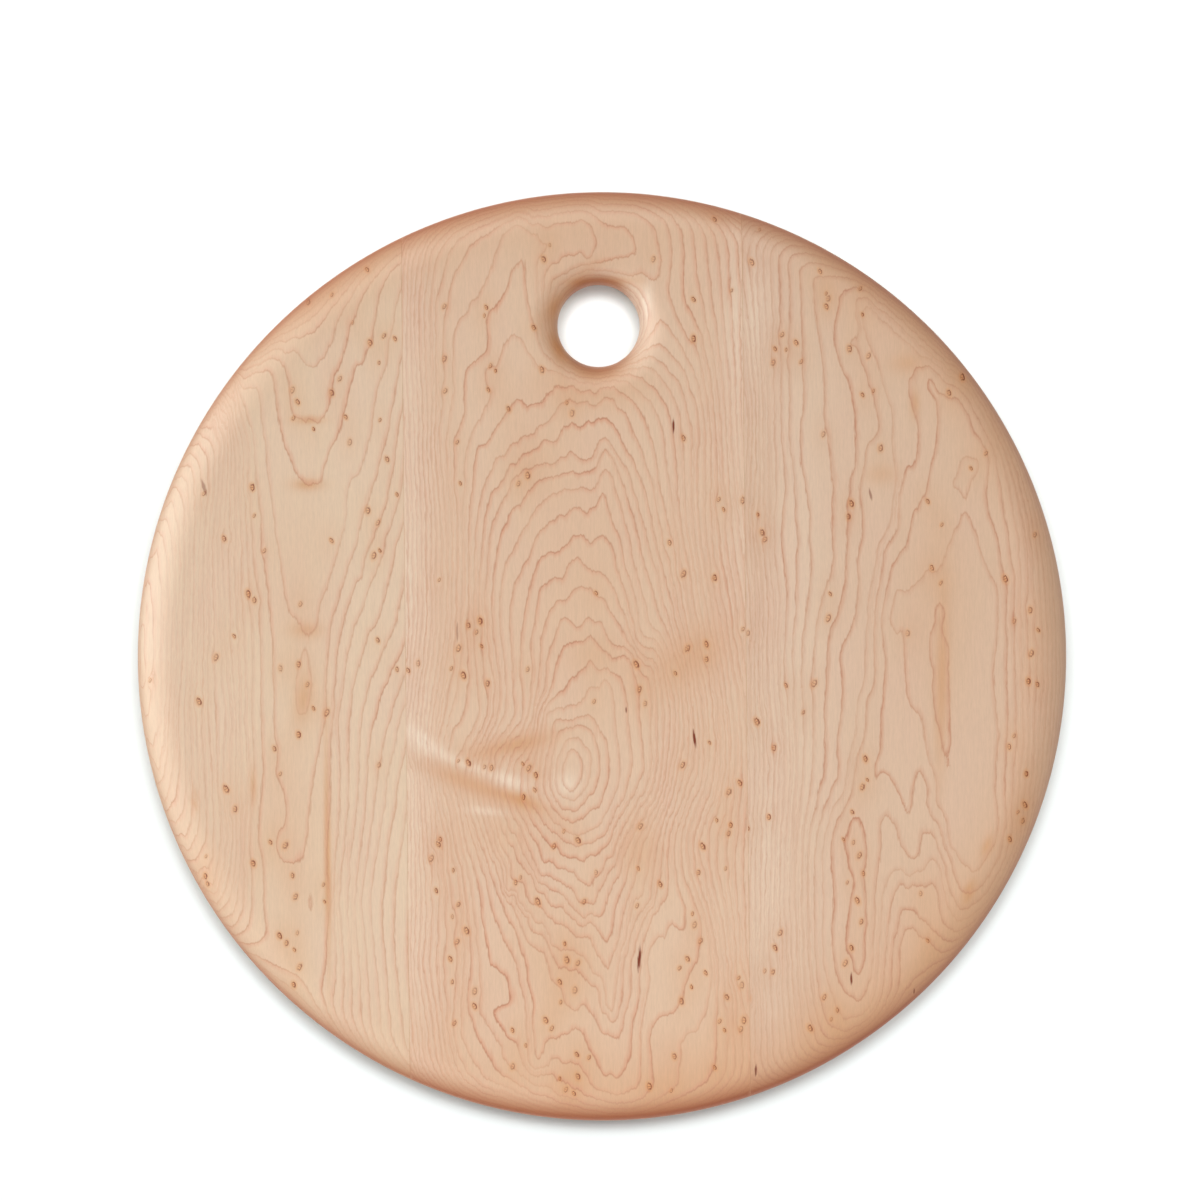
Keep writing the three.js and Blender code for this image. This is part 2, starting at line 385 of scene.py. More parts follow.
# the three planks, with marks read off in photo pixels: numbered growth rings, bird's eyes, mineral
# flecks (x, y, half width, half length, lean, strength) and patches of tone (x, y, length, width, lean,
# gain), where a gain above 0 is paler
leftStave = {
    "seam": board["leftJoint"] - board["glue"] / 2,
    "rows": 300,
    "columns": 85,
    "dip": -1,
    "ringsPerMm": 0.65,
    "seed": 1,
    "eyeSize": 1.05,
    "rings": {
        0.4: [(318, 345)],
        1: [(268, 343), (285, 345), (297, 352), (306, 363), (320, 363), (330, 350), (340, 320), (350, 297)],
        2: [(258, 352), (278, 353), (287, 372), (293, 395), (297, 415), (303, 420), (323, 420), (330, 413),
            (333, 396), (347, 350), (356, 318), (367, 285)],
        3: [(256, 362), (266, 366), (276, 388), (283, 430), (290, 456), (300, 480), (310, 485), (321, 483),
            (327, 465), (333, 448), (342, 432), (348, 405), (356, 370), (364, 362), (373, 338), (379, 305)],
        4: [(248, 372), (257, 380), (262, 402), (267, 440), (273, 500), (282, 560), (290, 608), (297, 624),
            (307, 632), (314, 634), (319, 622), (330, 580), (341, 545), (348, 516), (350, 488), (360, 472),
            (375, 430), (380, 385), (390, 350), (397, 310)],
        4.5: [(402, 330)],
        5: [(250, 420), (258, 490), (265, 550), (270, 600), (275, 650), (277, 740), (280, 772), (285, 790),
            (288, 810), (284, 828), (277, 842), (281, 856), (300, 856), (309, 838), (310, 818), (312, 800),
            (320, 752), (327, 715), (330, 660), (340, 600), (350, 570), (362, 530), (372, 490), (385, 450),
            (395, 400)],
        5.4: [(292, 900), (292, 945), (300, 980)],
        6: [(243, 420), (250, 480), (256, 560), (262, 640), (263, 720), (262, 800), (264, 860), (265, 905),
            (333, 725), (332, 800), (330, 900), (328, 960), (338, 660), (348, 610), (360, 580), (375, 540),
            (388, 500)],
        6.1: [(402, 420)],
        7: [(248, 540), (254, 720), (252, 840), (253, 900), (340, 720), (335, 900), (387, 540)],
        8: [(246, 840), (352, 720), (341, 900), (400, 540)],
        8.8: [(239, 540), (242, 720)],
        9: [(362, 720), (350, 900)],
        9.6: [(402, 640)],
        10.5: [(228, 540), (236, 720), (237, 840)],
        11: [(391, 720), (363, 900)],
        11.4: [(228, 440)],
        12: [(401, 720), (373, 900)],
        14.0: [(211, 540), (210, 720), (397, 900)],
        14.4: [(402, 960)],
        15.8: [(202, 540), (199, 720), (202, 840)],
        19.2: [(185, 540), (180, 720)],
        23.6: [(163, 560), (160, 720)],
    },
    "eyes": [
        (354, 324), (371, 344), (385, 337), (396, 340), (380, 364), (294, 391), (299, 403), (295, 419),
        (315, 430), (333, 394), (341, 380), (347, 418), (381, 421), (351, 443), (388, 460), (206, 494),
        (398, 495), (369, 511), (379, 523), (333, 541), (256, 516), (254, 488), (226, 539), (266, 551),
        (381, 551), (375, 556), (309, 303), (368, 271), (333, 296), (250, 594), (256, 600), (302, 604),
        (236, 636), (218, 657), (282, 668), (379, 640), (152, 680), (201, 701), (300, 664), (309, 684),
        (315, 708), (328, 712), (300, 734), (276, 748), (282, 773), (228, 788), (237, 808), (380, 764),
        (272, 841), (287, 844), (255, 862), (294, 874), (325, 883), (326, 900), (297, 895), (207, 875),
        (209, 883), (208, 855), (281, 934), (288, 941), (299, 931), (296, 948), (301, 965), (295, 983),
        (398, 669),
    ],
    "flecks": [(206, 488, 2.2, 10, 18, 0.55)],
    "patches": [
        (329, 850, 110, 3, 90, -1.2), (304, 700, 22, 9, 80, -0.7), (309, 485, 15, 6, 0, -1.1),
        (311, 421, 15, 4, 0, -0.9), (308, 630, 16, 8, 0, -0.7), (255, 785, 18, 3, 90, -0.9),
        (197, 800, 12, 3, 90, -0.8),
        (300, 600, 120, 40, 90, -0.25), (285, 830, 75, 45, 90, -0.35),
    ],
}
middleStave = {
    "from": board["leftJoint"] + board["glue"] / 2,
    "to": board["rightJoint"] - board["glue"] / 2,
    "rows": 300,
    "columns": 126,
    "dip": 1,
    "ringsPerMm": 0.7,
    "seed": 2,
    "eyeSize": 1.05,
    "rings": {
        -0.5: [(573, 753), (570, 785)],
        1: [(556, 782), (562, 745), (573, 735), (586, 742), (591, 765), (585, 787), (570, 801)],
        2: [(549, 785), (557, 737), (575, 727), (593, 733), (599, 752), (597, 782), (575, 807)],
        3: [(543, 790), (552, 735), (575, 720), (597, 725), (607, 745), (606, 790), (577, 818)],
        4: [(548, 712), (557, 707), (580, 700), (597, 684), (606, 680), (615, 712), (618, 745), (617, 790),
            (583, 832)],
        5: [(552, 700), (560, 690), (577, 674), (603, 669), (622, 682), (628, 720), (628, 780), (555, 833),
            (578, 845), (604, 832)],
        6: [(546, 700), (555, 668), (566, 645), (580, 640), (598, 642), (632, 662), (640, 720), (641, 780),
            (585, 857), (612, 835)],
        6.6: [(540, 838)],
        7: [(548, 660), (556, 630), (564, 617), (575, 628), (590, 621), (610, 640), (640, 668), (553, 863),
            (593, 880), (619, 838)],
        7.2: [(512, 775)],
        7.7: [(530, 845)],
        8: [(541, 650), (551, 610), (568, 597), (580, 584), (592, 590), (606, 602), (622, 628), (648, 664),
            (540, 875), (580, 897), (602, 889)],
        9: [(531, 640), (540, 592), (560, 577), (577, 555), (590, 570), (606, 577), (618, 600), (630, 635),
            (585, 914), (601, 914), (611, 890), (630, 840), (660, 780)],
        9.8: [(545, 892)],
        10: [(515, 850), (525, 622), (529, 590), (546, 554), (561, 550), (575, 535), (590, 543), (603, 535),
            (613, 552), (624, 590), (642, 645), (564, 909), (576, 920), (588, 921), (600, 933), (607, 941),
            (619, 898), (523, 701), (523, 716), (508, 736), (510, 844), (522, 866), (532, 879), (551, 900)],
        10.6: [(542, 902)],
        11: [(509, 620), (513, 590), (531, 550), (549, 521), (563, 518), (577, 506), (590, 512), (600, 497),
            (612, 522), (624, 560), (650, 640), (583, 936), (593, 943), (602, 955), (608, 966), (628, 900),
            (645, 840), (514, 697), (513, 717), (503, 734), (492, 751), (525, 889), (535, 906), (553, 917)],
        11.4: [(503, 850), (559, 933)],
        11.5: [(520, 890)],
        12: [(527, 907), (545, 924), (500, 605), (509, 560), (522, 533), (539, 507), (551, 494), (572, 492),
            (589, 492), (603, 474), (614, 482), (625, 520), (645, 600), (588, 962), (595, 970), (605, 994),
            (608, 1009), (636, 903), (507, 881), (518, 897), (534, 921), (552, 938)],
        12.2: [(672, 780)],
        12.5: [(530, 921), (554, 948)],
        12.7: [(544, 931)],
        13: [(561, 965), (578, 971), (494, 570), (505, 527), (523, 500), (532, 486), (552, 479), (572, 472),
            (585, 474), (601, 455), (613, 457), (625, 487), (652, 590), (598, 987), (607, 1016),
            (613, 1020), (624, 965), (650, 893), (676, 660), (494, 850), (505, 879), (516, 898), (528, 916),
            (549, 941)],
        13.5: [(580, 984)],
        13.6: [(497, 862)],
        14: [(506, 895), (525, 933), (535, 948), (549, 965), (559, 981), (488, 545), (500, 507), (515, 480),
            (530, 467), (556, 463), (590, 459), (603, 442), (616, 452), (632, 485), (660, 585), (564, 1004),
            (576, 1008), (586, 1005), (593, 1016), (602, 1030), (614, 1036), (625, 1012), (632, 960),
            (657, 890), (488, 850), (501, 883), (514, 909), (551, 974)],
        14.6: [(545, 1000)],
        15: [(530, 989), (482, 550), (490, 502), (505, 475), (526, 455), (546, 444), (561, 434), (576, 424),
            (596, 421), (613, 428), (627, 450), (655, 535), (604, 1072), (632, 1046), (639, 1000),
            (641, 962), (652, 915), (666, 890), (487, 710), (484, 850), (499, 897), (511, 922), (521, 943),
            (528, 973), (532, 1020), (537, 1054), (546, 1042), (562, 1032), (575, 1026), (587, 1043)],
        15.2: [(671, 840)],
        15.3: [(488, 868), (480, 729)],
        15.5: [(523, 966)],
        15.6: [(495, 902), (504, 926)],
        15.8: [(546, 1060), (465, 746)],
        16: [(511, 948), (476, 540), (489, 477), (511, 449), (531, 434), (546, 424), (558, 410), (572, 402),
            (610, 400), (624, 414), (655, 500), (604, 1090), (640, 1075), (645, 1003), (648, 958),
            (664, 939), (671, 921), (686, 906), (477, 850), (490, 896), (501, 933), (516, 958), (523, 986),
            (526, 1010), (526, 1026)],
        16.3: [(455, 757)],
        16.5: [(478, 868)],
        16.6: [(487, 915), (495, 940), (668, 970), (664, 1000)],
        16.75: [(503, 1012)],
        16.8: [(700, 780)],
        17: [(452, 778), (470, 520), (478, 452), (495, 430), (509, 411), (520, 400), (537, 408), (550, 392),
            (577, 391), (602, 391), (627, 398), (660, 480), (700, 930), (692, 965), (686, 985), (679, 1003),
            (654, 1024), (650, 1039), (652, 1075), (467, 697), (461, 722), (450, 745), (474, 869),
            (482, 916), (487, 942), (491, 962), (502, 969), (508, 981), (510, 998), (497, 1006),
            (494, 1011), (509, 1034), (521, 1052), (542, 1071)],
        17.3: [(497, 997)],
        17.4: [(465, 845), (458, 810), (540, 1078)],
        17.5: [(514, 1050), (665, 1045), (668, 1062)],
        17.6: [(470, 868), (478, 915)],
        17.8: [(486, 1016)],
        18: [(504, 1056), (464, 500), (470, 440), (482, 420), (490, 395), (489, 370), (498, 361),
            (515, 338), (530, 352), (545, 368), (586, 381), (627, 383), (650, 405), (668, 480), (710, 980),
            (696, 1028), (682, 1039), (679, 1067), (480, 1013), (492, 1028), (502, 1045), (515, 1069),
            (528, 1079)],
        18.2: [(700, 660)],
        18.6: [(462, 860), (475, 955), (706, 1062)],
        18.7: [(470, 915), (476, 1018)],
        19: [(456, 490), (463, 420), (466, 376), (487, 354), (487, 315), (505, 294), (511, 276), (518, 263),
            (525, 267), (527, 290), (534, 322), (662, 400), (472, 1015), (486, 1047), (502, 1073),
            (515, 1078)],
        19.2: [(704, 895), (720, 1030)],
        19.7: [(467, 955)],
        19.8: [(464, 1018)],
        20: [(448, 470), (455, 335), (468, 313), (484, 290), (498, 251), (507, 229), (514, 222), (523, 226),
            (536, 236), (549, 246), (539, 262), (537, 285), (700, 840), (722, 960), (460, 1024),
            (469, 1050), (483, 1074)],
        20.2: [(453, 860)],
        20.3: [(460, 915)],
        21: [(440, 440), (450, 292), (461, 262), (476, 240), (496, 222), (510, 214), (532, 222), (546, 225),
            (575, 220), (590, 226), (596, 240), (586, 258), (557, 267), (544, 282), (460, 1050),
            (468, 1075)],
        21.3: [(452, 1018)],
        22: [(600, 222), (621, 228), (632, 238), (634, 256), (614, 260), (586, 267), (556, 286)],
        22.3: [(700, 420)],
        22.4: [(703, 540), (744, 1040)],
        23: [(431, 300), (655, 230), (659, 275), (640, 279)],
        24: [(668, 290)],
        24.2: [(437, 1018)],
        24.5: [(744, 780), (744, 960)],
        24.6: [(425, 420)],
        25: [(744, 840), (744, 900)],
        25.2: [(423, 960)],
        25.5: [(692, 290), (423, 480)],
        26: [(744, 660)],
        26.5: [(412, 757), (417, 822)],
        28: [(411, 780)],
        28.5: [(744, 540)],
        29: [(403, 300), (405, 420)],
        29.5: [(405, 790), (405, 900), (405, 660)],
        30: [(404, 540), (404, 960)],
        30.5: [(744, 300), (744, 420)],
    },
    "eyes": [
        (550, 247), (544, 261), (445, 308), (487, 309), (485, 317), (445, 360), (534, 329), (491, 367),
        (496, 372), (542, 371), (446, 392), (489, 391), (567, 404), (572, 414), (509, 410), (458, 443),
        (461, 484), (528, 476), (519, 484), (693, 301), (731, 292), (693, 340), (683, 439), (718, 500),
        (723, 510), (742, 501), (653, 261), (714, 221), (440, 580), (481, 621), (469, 625), (477, 632),
        (482, 646), (459, 648), (419, 663), (409, 670), (452, 668), (464, 675), (488, 683), (528, 669),
        (596, 593), (683, 574), (714, 578), (669, 543), (594, 701), (636, 664), (639, 689), (645, 703),
        (675, 673), (687, 648), (706, 644), (706, 659), (742, 629), (709, 742), (682, 764), (524, 796),
        (535, 789), (459, 760), (469, 762), (492, 767), (485, 766), (523, 763), (529, 767), (536, 774),
        (441, 838), (564, 830), (578, 839), (554, 845), (596, 871), (638, 867), (640, 825), (660, 883),
        (698, 871), (725, 867), (702, 845), (728, 832), (730, 824), (716, 819), (728, 791), (739, 782),
        (516, 881), (521, 876), (538, 900), (584, 900), (437, 889), (454, 869), (432, 857), (439, 843),
        (459, 903), (453, 915), (467, 929), (458, 940), (451, 957), (453, 980), (475, 989), (475, 1004),
        (455, 1021), (565, 942), (567, 958), (578, 961), (560, 980), (561, 1000), (575, 988), (546, 1018),
        (552, 1026), (513, 1028), (526, 1043), (513, 1064), (577, 1052), (589, 1055), (560, 1076),
        (578, 1074), (566, 1087), (574, 1091), (692, 912), (694, 923), (687, 957), (679, 966), (691, 985),
        (681, 999), (700, 939), (705, 971), (738, 976), (741, 983), (726, 995), (719, 1019), (724, 1028),
        (743, 1018), (740, 1027), (714, 1065), (671, 1088), (649, 1084), (674, 1054), (637, 904),
    ],
    "flecks": [(673, 427, 1.6, 9, 0, 1.0), (694, 738, 1.8, 10, 8, 1.0), (639, 957, 1.9, 15, -5, 1.0),
               (626, 709, 1, 4, 0, 0.8), (458, 632, 1.2, 12, 0, 0.4)],
    "patches": [
        (426, 741, 26, 7, -36, 0.85), (470, 765, 30, 6, -22, 0.8), (514, 781, 22, 8, -15, 1.0),
        (566, 783, 14, 11, 0, 0.6), (487, 810, 20, 4, -6, 0.75), (515, 744, 40, 10, 12, -1.0),
        (475, 785, 75, 10, -22, -0.8), (520, 798, 25, 6, -22, -0.7), (640, 850, 30, 25, 0, -0.4),
        (685, 660, 55, 28, 30, -0.5), (530, 460, 30, 40, 0, -0.3), (412, 640, 420, 22, 90, 0.5),
        (580, 560, 150, 70, 90, -0.25), (560, 960, 60, 60, 0, -0.35), (597, 390, 60, 22, 0, -0.5),
        # the patches at (644, 316) and (631, 297) are a painted highlight on the finger hole's wall that
        # faces the left lamps, and those at (568, 295), (600, 283), (557, 335), (568, 357) and (600, 376) are
        # painted shade on its other walls
        (590, 250, 70, 45, 0, -0.2), (644, 316, 30, 5, 80, 1.1), (568, 295, 34, 8, 45, -1.0),
        (600, 283, 30, 4, 0, -1.2), (557, 335, 34, 8, 95, -1.0), (568, 357, 26, 8, -45, -1.0),
        (600, 376, 24, 7, 0, -0.5), (631, 297, 16, 9, -45, 0.8),
        (738, 310, 90, 14, 90, 0.5), (742, 500, 150, 14, 90, 0.3), (510, 835, 40, 25, 0, -0.3),
        (598, 655, 30, 22, 0, -0.35),
    ],
}
rightStave = {
    "seam": board["rightJoint"] + board["glue"] / 2,
    "rows": 310,
    "columns": 104,
    "dip": 1,
    "ringsPerMm": 0.7,
    "seed": 3,
    "eyeSize": 1.05,
    "rings": {
        -0.4: [(938, 650), (940, 700)],
        -0.3: [(942, 726)],
        -0.12: [(944, 745)],
        0: [(936, 603), (932, 625), (931, 665), (932, 700), (937, 730), (941, 748), (945, 766), (947, 750),
            (948, 725), (947, 700), (946, 665), (942, 637)],
        0.45: [(918, 640), (922, 690), (972, 640), (972, 760), (975, 820), (958, 560), (946, 795),
            (951, 822)],
        0.7: [(967, 474)],
        1: [(960, 515), (951, 535), (944, 555), (938, 568), (924, 573), (908, 592), (892, 597), (888, 620),
            (901, 632), (903, 666), (911, 708), (920, 722), (927, 760), (935, 805), (948, 845), (962, 864),
            (972, 867), (972, 530), (980, 550), (988, 575), (997, 592), (995, 640), (993, 700), (998, 735),
            (994, 765), (998, 820), (957, 470), (960, 462), (967, 456), (976, 464), (971, 480), (959, 492),
            (952, 484)],
        1.4: [(950, 420), (952, 505)],
        1.7: [(858, 900), (858, 840), (856, 960)],
        2: [(872, 776), (888, 776), (896, 792), (905, 811), (914, 776), (919, 770), (926, 786), (936, 822),
            (948, 858), (957, 885), (930, 381), (932, 400), (935, 420), (934, 445), (929, 470), (917, 506),
            (908, 530), (894, 560), (884, 595), (881, 640), (957, 396), (966, 406), (974, 429), (984, 450),
            (985, 490), (995, 540), (1005, 600), (1006, 720)],
        2.3: [(845, 820), (845, 960), (846, 890)],
        2.8: [(856, 765)],
        3: [(879, 822), (884, 814), (892, 822), (898, 840), (908, 854), (916, 854), (923, 829), (928, 829),
            (936, 845), (945, 880), (912, 375), (915, 420), (912, 465), (905, 470), (898, 495), (882, 555),
            (875, 600), (873, 650), (866, 700), (1014, 720), (1012, 600)],
        3.1: [(830, 840), (832, 960)],
        3.2: [(893, 380)],
        3.4: [(864, 318), (880, 330), (895, 352)],
        4: [(884, 885), (892, 872), (907, 873), (920, 872), (932, 857), (940, 880), (890, 412), (890, 440),
            (894, 490), (886, 530), (876, 560), (866, 620), (862, 680), (854, 735), (866, 305), (884, 320),
            (901, 335), (917, 348), (940, 365), (1019, 600), (1020, 720), (1018, 800)],
        4.6: [(840, 780)],
        5: [(889, 905), (898, 885), (915, 885), (928, 882), (937, 903), (855, 312), (858, 323), (848, 343),
            (858, 359), (866, 379), (872, 402), (877, 430), (867, 445), (861, 470), (857, 497), (856, 560),
            (839, 650), (836, 740), (880, 304), (905, 325), (935, 352), (1026, 600), (1027, 720),
            (1028, 800)],
        6: [(895, 930), (903, 910), (915, 914), (928, 926), (839, 288), (836, 309), (836, 356), (845, 379),
            (853, 419), (853, 465), (848, 499), (846, 560), (835, 610), (825, 660), (1033, 600),
            (1034, 720)],
        6.1: [(807, 840), (807, 960)],
        7: [(899, 945), (905, 927), (918, 932), (926, 938), (923, 950), (917, 965), (907, 976), (899, 968),
            (816, 270), (813, 278), (813, 300), (820, 359), (823, 412), (831, 500), (831, 570), (812, 660)],
        7.4: [(911, 950)],
        8: [(798, 263), (800, 300), (800, 363), (803, 396), (800, 465), (808, 540), (806, 600), (800, 670)],
        9: [(786, 256), (788, 283), (787, 359), (792, 470), (797, 540), (791, 680)],
        10.4: [(777, 440), (777, 540)],
        11: [(780, 840), (780, 960)],
        12.6: [(764, 420), (764, 540), (768, 660)],
        17: [(747, 420), (748, 960)],
        17.5: [(747, 600), (748, 840)],
        18: [(748, 750)],
    },
    "eyes": [
        (759, 231), (751, 264), (781, 336), (774, 350), (785, 351), (772, 364), (795, 344), (800, 363),
        (757, 515), (761, 533), (764, 540), (819, 273), (825, 295), (827, 300), (825, 308), (859, 290),
        (861, 316), (848, 350), (867, 357), (861, 396), (872, 392), (961, 378), (947, 394), (984, 454),
        (969, 469), (879, 449), (822, 435), (926, 502), (940, 525), (850, 504), (847, 517), (1033, 535),
        (829, 594), (827, 618), (906, 633), (930, 568), (939, 583), (1003, 579), (1028, 610), (1012, 621),
        (1036, 630), (1029, 653), (1026, 681), (1035, 684), (802, 712), (756, 721), (773, 747), (747, 633),
        (785, 685), (813, 683), (864, 758), (1007, 746), (1012, 735), (866, 779), (861, 786), (1024, 773),
        (851, 811), (1016, 811), (1023, 804), (1021, 820), (852, 841), (842, 838), (858, 854), (1008, 838),
        (862, 872), (846, 881), (856, 899), (860, 920), (919, 892), (926, 939), (844, 961), (850, 946),
        (836, 1008), (830, 1017), (809, 1026), (823, 995), (768, 816), (747, 827), (779, 931), (774, 946),
        (772, 970), (764, 969), (746, 995),
    ],
    "flecks": [(755, 1068, 1.5, 7, 0, 0.9), (850, 977, 1.5, 7, 0, 0.95), (869, 495, 1.5, 7, 12, 0.6),
               (913, 990, 1, 4, 0, 0.8)],
    "patches": [
        (940, 685, 85, 7, 88, -0.8), (913, 405, 14, 5, 90, -0.8), (985, 845, 12, 5, 70, -0.7),
        (967, 890, 12, 5, 70, -0.7), (880, 475, 18, 10, 0, -0.5), (905, 365, 18, 10, 0, -0.5),
        (766, 900, 230, 26, 90, 0.36), (755, 300, 90, 16, 90, 0.5), (795, 620, 380, 38, 90, 0.22),
        (935, 600, 110, 45, 90, -0.3), (930, 910, 60, 40, 90, -0.15),
    ],
}


# sRGB hex to the linear colour that shaders take
def fromHex(text):
    parts = [int(text[i:i + 2], 16) / 255 for i in (1, 3, 5)]
    return tuple(p / 12.92 if p <= 0.04045 else ((p + 0.055) / 1.055) ** 2.4 for p in parts) + (1.0,)


# adds a shader node and gives its outputs: unnamed values are its inputs in order, named ones are inputs or
# settings, and another node's output is linked
def addNode(tree, kind, *inputs, **named):
    node = tree.nodes.new("ShaderNode" + kind)
    sockets = {socket.identifier: socket for socket in node.inputs}
    for key, value in [*named.items(), *zip(sockets, inputs)]:
        if key not in sockets:
            setattr(node, key, value)
        elif isinstance(value, bpy.types.NodeSocket):
            tree.links.new(value, sockets[key])
        else:
            sockets[key].default_value = value
    return node.outputs


def emptyTree(owner):
    owner.use_nodes = True
    owner.node_tree.nodes.clear()
    return owner.node_tree


maple = {
    "fibre": (0.6, 12.0, 3),  # fine fibres: mm across and along, and detail
    "dash": (0.45, 3.0, 2),  # short pores
    "jag": (0.9, 5.0, 2),  # waver of the ring lines
    "jagBy": 0.8,  # mm
    "streak": (5.0, 50.0),  # streaks to a ring, and their length in mm
    "line": (0.26, 0.02, 0.6),  # ring line: mm, plus a share of the ring spacing, and its depth of colour
    "fade": (0.25, 0.28, 0.8),  # late wood inside each line, measured the same way
    "widest": 4.0,  # mm between rings, past which the lines grow no wider
    "blush": (14.0, 40.0, 2),  # rosy clouds
    "soft": 1.6,  # how far a line's sides are spread
    "denseFrom": (0.15, 0.42),  # rings to a mm over which lines grow fainter
    "streakFrom": (0.29, 0.40),  # rings to a mm over which streaks set in
    "streakRange": (0.42, 0.75, 0.0, 0.4),  # noise from and to, and what it turns into, as in the next four
    "uneven": (0.35, 0.65, 0.65, 1.2),
    "rosy": (0.4, 0.7, 0.0, 0.25),
    "thread": (0.35, 0.65, 0.98, 1.02),
    "pores": (0.35, 0.8, 1.015, 0.95),
    "fleckEdge": (1.1, 0.4),  # in a fleck's own radii
    "browner": -0.6,  # brown for a tone below 0
    "bump": (0.25, 0.03),  # strength, and mm
    "roughness": 0.46,
    "ior": 1.46,
}


# growth rings: distance in mm to the nearest whole ring number, drawn as a thin line with late wood fading
# away inside it, and streaks of noise that run with close rings
def ringLines(tree, wood, ring, rate, jag, cloud, along):
    waver = addNode(tree, "Math", jag, 2 * maple["jagBy"], -maple["jagBy"], operation="MULTIPLY_ADD")[0]
    jagged = addNode(tree, "Math", waver, rate, ring, operation="MULTIPLY_ADD")[0]
    whole = addNode(tree, "Math", jagged, operation="ROUND")[0]
    signed = addNode(tree, "Math", jagged, whole, operation="SUBTRACT")[0]
    apart = addNode(tree, "Math", signed, operation="ABSOLUTE")[0]
    spacing = addNode(tree, "Math", 1.0, rate, operation="DIVIDE")[0]
    gap = addNode(tree, "Math", apart, spacing, operation="MULTIPLY")[0]
    capped = addNode(tree, "Math", spacing, maple["widest"], operation="MINIMUM")[0]
    band = {}
    for key in ("line", "fade"):
        least, share, depth = maple[key]
        width = addNode(tree, "Math", capped, share, least, operation="MULTIPLY_ADD")[0]
        near = addNode(tree, "Math", gap, width, operation="DIVIDE")[0]
        band[key] = addNode(tree, "MapRange", near, maple["soft"], 0.0, 0.0, depth,
                            interpolation_type="SMOOTHSTEP")[0]
    chance = addNode(tree, "TexWhiteNoise", noise_dimensions="1D", W=whole)[0]
    faintest = wood["faintest"] * wood["depth"]
    strength = addNode(tree, "MapRange", chance, 0.0, 1.0, faintest, wood["depth"])[0]
    start, full = maple["denseFrom"]
    dense = addNode(tree, "MapRange", rate, start, full, 1.0, wood["dense"])[0]
    weight = addNode(tree, "Math", strength, dense, operation="MULTIPLY")[0]
    uneven = addNode(tree, "MapRange", cloud, *maple["uneven"])[0]
    weight = addNode(tree, "Math", weight, uneven, operation="MULTIPLY")[0]
    lines = addNode(tree, "Math", band["line"], weight, operation="MULTIPLY")[0]
    inside = addNode(tree, "Math", signed, 0.0, operation="LESS_THAN")[0]
    late = addNode(tree, "Math", band["fade"], weight, operation="MULTIPLY")[0]
    late = addNode(tree, "Math", late, inside, operation="MULTIPLY")[0]
    close = addNode(tree, "MapRange", rate, *maple["streakFrom"])[0]
    perRing, length = maple["streak"]
    acrossRings = addNode(tree, "Math", jagged, perRing, operation="MULTIPLY")[0]
    alongGrain = addNode(tree, "Math", along, 1 / length / mm, operation="MULTIPLY")[0]
    spot = addNode(tree, "CombineXYZ", acrossRings, alongGrain)[0]
    streak = addNode(tree, "TexNoise", noise_dimensions="2D", Vector=spot, Scale=1.0, Detail=3.0,
                     Roughness=0.6)[0]
    streak = addNode(tree, "MapRange", streak, *maple["streakRange"])[0]
    streak = addNode(tree, "Math", streak, close, operation="MULTIPLY")[0]
    return lines, late, streak


birdEye = {
    "strength": (0.0, 1.0, 0.5, 1.0),  # by an eye's own number
    "oval": (1.25, 0.85, 0.0),
    "radius": 0.75,
    "ring": (0.38, 0.04, 0.0, 1.0),  # from and to in distance off that radius, and in depth of colour
    "opening": (-0.9, 0.4),  # from the open side to where the ring is whole
    "stroke": (0.2, 0.02, 0.0, 0.6),  # as for the ring, off the middle line
    "strokeWithin": 0.8,
    "core": (2.2, 0.3, 0.0, 0.65),  # as for the ring, off the middle
}


# bird's eyes, in an eye's own radii: a thin red-brown ring that is open on one side, a stroke across it, and
# an orange core that fades away
def birdEyes(tree, eye, ripple):
    parts = addNode(tree, "SeparateXYZ", eye)
    strength = addNode(tree, "MapRange", parts[2], *birdEye["strength"])[0]
    oval = addNode(tree, "VectorMath", eye, birdEye["oval"], operation="MULTIPLY")[0]
    far = addNode(tree, "VectorMath", oval, operation="LENGTH")[1]
    far = addNode(tree, "Math", far, ripple, operation="ADD")[0]
    off = addNode(tree, "Math", far, birdEye["radius"], operation="SUBTRACT")[0]
    off = addNode(tree, "Math", off, operation="ABSOLUTE")[0]
    ring = addNode(tree, "MapRange", off, *birdEye["ring"], interpolation_type="SMOOTHSTEP")[0]
    opening = addNode(tree, "MapRange", parts[0], *birdEye["opening"])[0]
    ring = addNode(tree, "Math", ring, opening, operation="MULTIPLY")[0]
    level = addNode(tree, "Math", parts[1], operation="ABSOLUTE")[0]
    stroke = addNode(tree, "MapRange", level, *birdEye["stroke"], interpolation_type="SMOOTHSTEP")[0]
    within = addNode(tree, "Math", far, birdEye["strokeWithin"], operation="LESS_THAN")[0]
    stroke = addNode(tree, "Math", stroke, within, operation="MULTIPLY")[0]
    ring = addNode(tree, "Math", ring, stroke, operation="MAXIMUM")[0]
    ring = addNode(tree, "Math", ring, strength, operation="MULTIPLY")[0]
    core = addNode(tree, "MapRange", far, *birdEye["core"], interpolation_type="SMOOTHSTEP")[0]
    core = addNode(tree, "Math", core, strength, operation="MULTIPLY")[0]
    return ring, core


